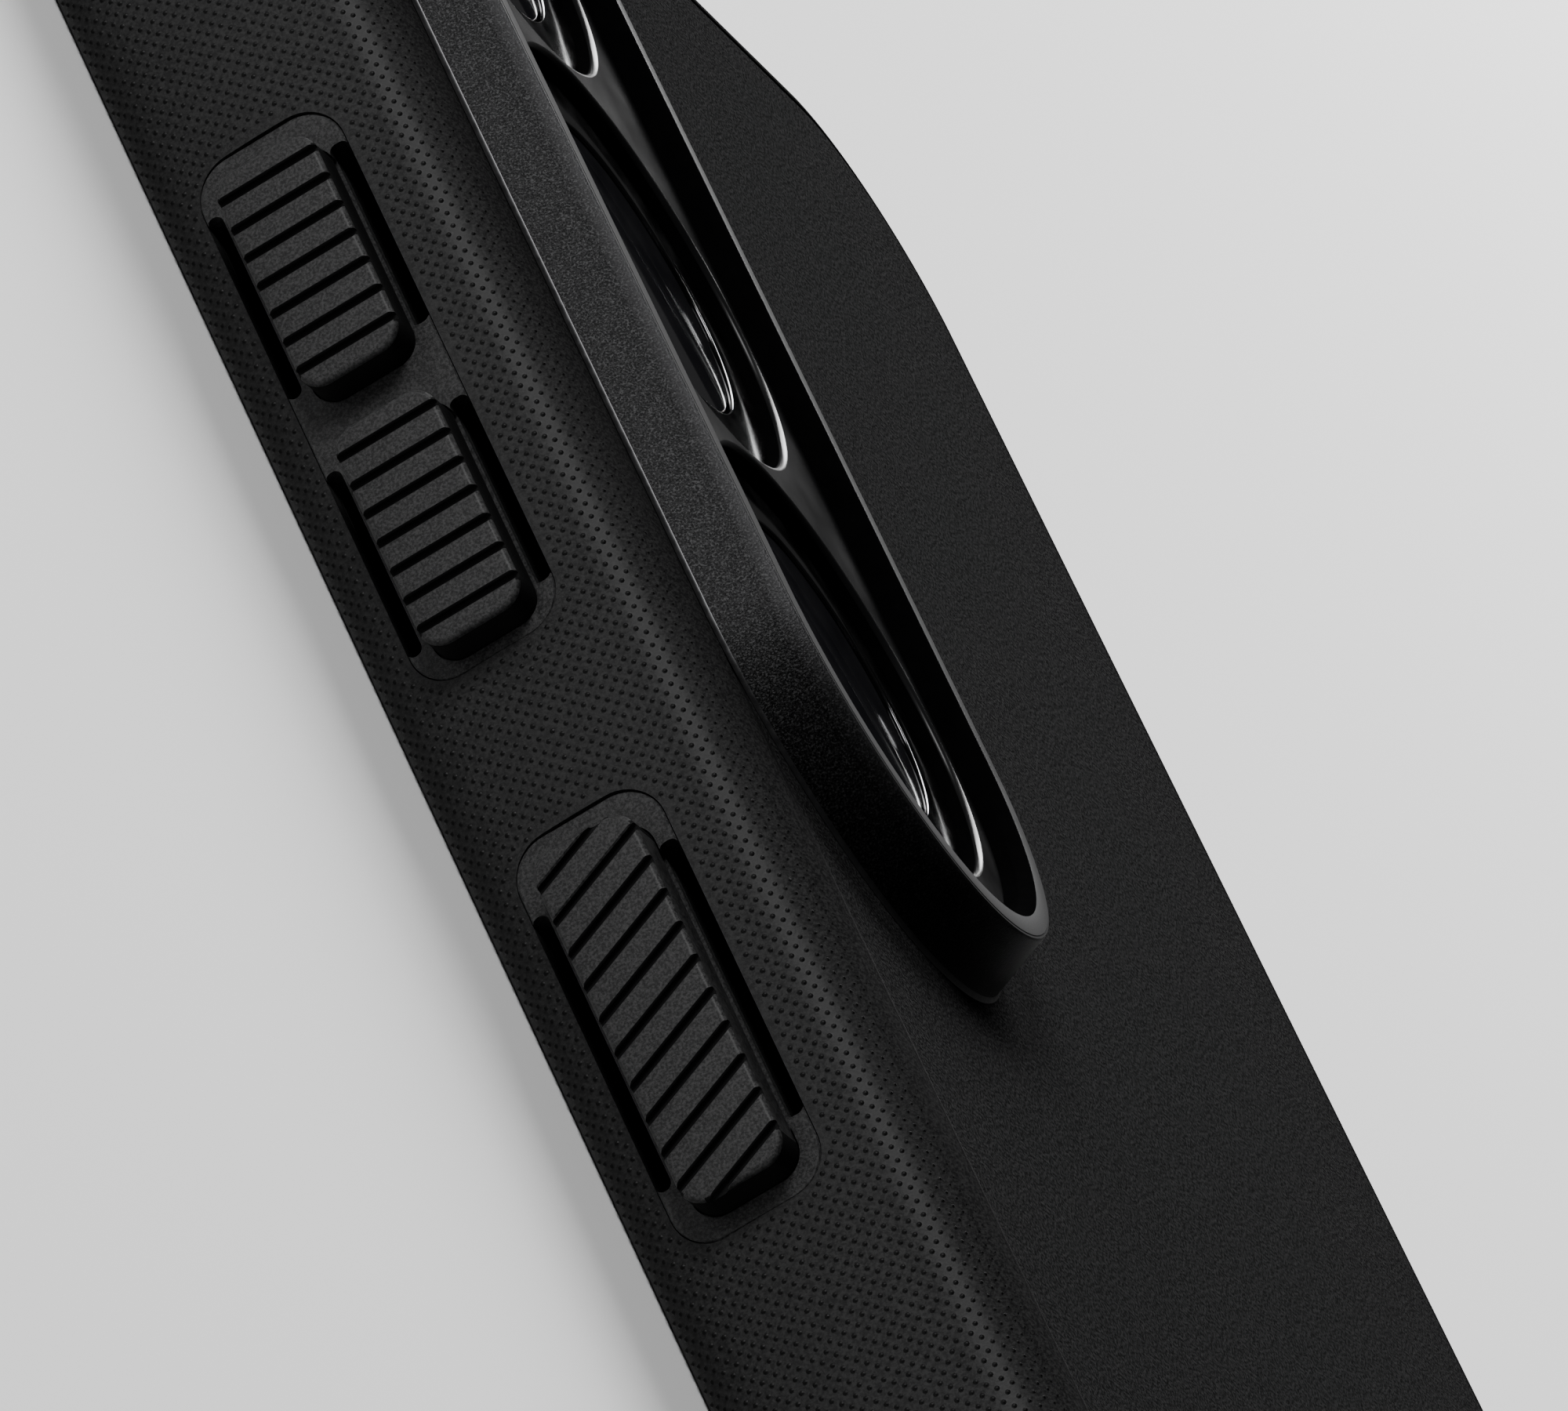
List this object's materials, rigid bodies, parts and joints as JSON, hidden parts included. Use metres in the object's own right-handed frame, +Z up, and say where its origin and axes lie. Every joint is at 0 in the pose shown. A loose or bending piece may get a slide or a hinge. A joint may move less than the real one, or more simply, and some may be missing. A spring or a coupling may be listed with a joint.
{
  "type": "phone case",
  "caption": "Rugged phone case with a dotted soft bumper, rigid back, raised pill-shaped camera guard, lens covers and ribbed side buttons.",
  "frame": {"origin": "middle of the whole case's box at its base, which is the plane of the front lip the case lies on", "axes": "+Z up, out of the back of the case; +Y towards the phone's top edge; the buttons are on the -X side"},
  "size_m": [0.0768, 0.1518, 0.0139],
  "materials": {
    "soft_black": "matt black soft plastic with a dotted grip",
    "hard_black": "finely grained black hard plastic",
    "microfibre": "dark grey short-nap lining",
    "blasted_metal": "bead-blasted black anodised",
    "satin_black": "smooth, fairly glossy black",
    "polished_steel": "polished, toned dark",
    "dark_glass": "dark coated glass, polished"
  },
  "bodies": {
    "case": {"bumper_frame": "soft_black", "back_plate": "hard_black", "inner_liner": "microfibre", "camera_guard": "blasted_metal", "camera_plate": "satin_black", "lens_ring_top": "polished_steel", "lens_ring_middle": "polished_steel", "lens_ring_bottom": "polished_steel", "lens_glass_top": "dark_glass", "lens_glass_middle": "dark_glass", "lens_glass_bottom": "dark_glass", "volume_button_panel": "soft_black", "power_button_panel": "soft_black"},
    "volume_up": {"volume_up_button": "soft_black", "volume_up_pusher": "hard_black"},
    "volume_down": {"volume_down_button": "soft_black", "volume_down_pusher": "hard_black"},
    "power": {"power_button": "soft_black", "power_pusher": "hard_black"}
  },
  "joints": [
    {"name": "volume_up_press", "type": "slide", "parent": "case", "child": "volume_up", "axis": [1, 0, 0], "range_m": [0, 0.0003], "stiffness_N_per_m": 2500},
    {"name": "volume_down_press", "type": "slide", "parent": "case", "child": "volume_down", "axis": [1, 0, 0], "range_m": [0, 0.0003], "stiffness_N_per_m": 2500},
    {"name": "power_press", "type": "slide", "parent": "case", "child": "power", "axis": [1, 0, 0], "range_m": [0, 0.0003], "stiffness_N_per_m": 2500}
  ]
}
